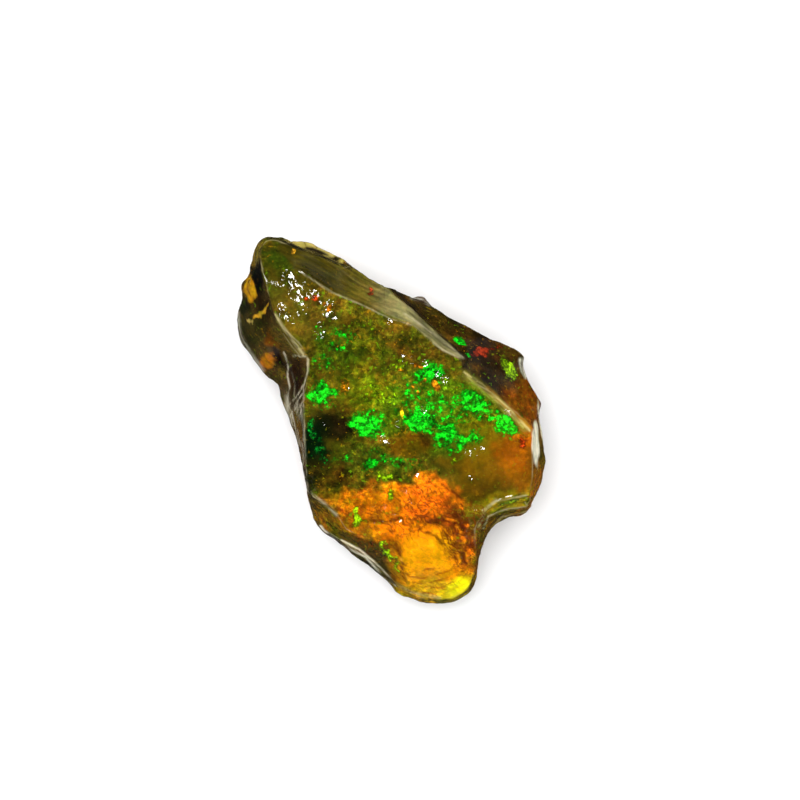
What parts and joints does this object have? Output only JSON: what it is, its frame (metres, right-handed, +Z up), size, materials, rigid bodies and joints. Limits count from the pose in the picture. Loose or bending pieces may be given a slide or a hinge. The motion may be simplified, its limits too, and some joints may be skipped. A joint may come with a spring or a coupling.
{
  "type": "rough opal",
  "caption": "Irregular broken piece of natural opal with one broad glassy face, chipped sides, a rounded lobe at one end and a flat underside that it rests on.",
  "frame": {"origin": "middle of the stone's box, on the surface it rests on", "axes": "+X to the right and +Y away, as seen from straight above with the pointed end at the upper left; +Z up, out of the broad glassy face"},
  "size_m": [0.028, 0.0332, 0.0127],
  "materials": {
    "opal": "glassy natural break, translucent amber to olive body with green, yellow and orange flashes"
  },
  "bodies": {
    "root": {"rough_opal": "opal"}
  },
  "joints": []
}
